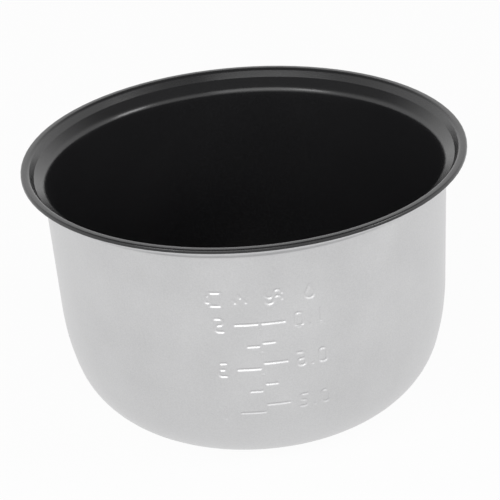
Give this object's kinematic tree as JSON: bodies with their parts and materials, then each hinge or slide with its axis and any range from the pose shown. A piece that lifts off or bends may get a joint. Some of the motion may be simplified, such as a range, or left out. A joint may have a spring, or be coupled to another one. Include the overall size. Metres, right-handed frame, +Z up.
{
  "type": "rice cooker inner pot",
  "caption": "Removable round cooking pot of a small electric rice cooker: drawn aluminium bowl with a stepped rim, pressed water-level marks and a non-stick lining.",
  "frame": {"origin": "centre of the plane that the pot's base ring stands on", "axes": "+Z up along the pot's axis, out of its mouth; -Y towards the water-level marks; +X to the right of someone who faces the marks from outside"},
  "size_m": [0.2, 0.2, 0.1217],
  "materials": {
    "pot_body": "satin, fine frosted grain",
    "nonstick_coating": "satin black non-stick"
  },
  "bodies": {
    "root": {"pot_body": "pot_body", "nonstick_coating": "nonstick_coating"}
  },
  "joints": []
}
